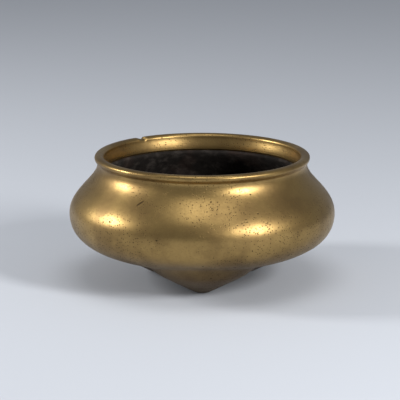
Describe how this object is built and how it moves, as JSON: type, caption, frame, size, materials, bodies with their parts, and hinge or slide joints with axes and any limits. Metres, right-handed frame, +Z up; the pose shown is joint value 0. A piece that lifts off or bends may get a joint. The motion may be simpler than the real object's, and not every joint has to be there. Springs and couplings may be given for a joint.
{
  "type": "tripod incense burner",
  "caption": "Low round-bellied bronze censer with a rolled lip and waisted neck, standing on conical feet; holds ash and incense.",
  "frame": {"origin": "on the table, under the middle of the bowl", "axes": "+Z up out of the mouth; the front foot points along -Y"},
  "size_m": [0.138, 0.138, 0.0665],
  "materials": {
    "bronze": "worn satin, pitted",
    "plug_bronze": "worn satin",
    "burnt_crust": "rough matte"
  },
  "bodies": {
    "root": {"bowl_casting": "bronze", "foot_front": "bronze", "foot_back_right": "bronze", "foot_back_left": "bronze", "core_plug_back": "plug_bronze", "core_plug_left": "plug_bronze", "core_plug_right": "plug_bronze", "core_plug_middle": "plug_bronze", "burnt_crust": "burnt_crust"}
  },
  "joints": []
}
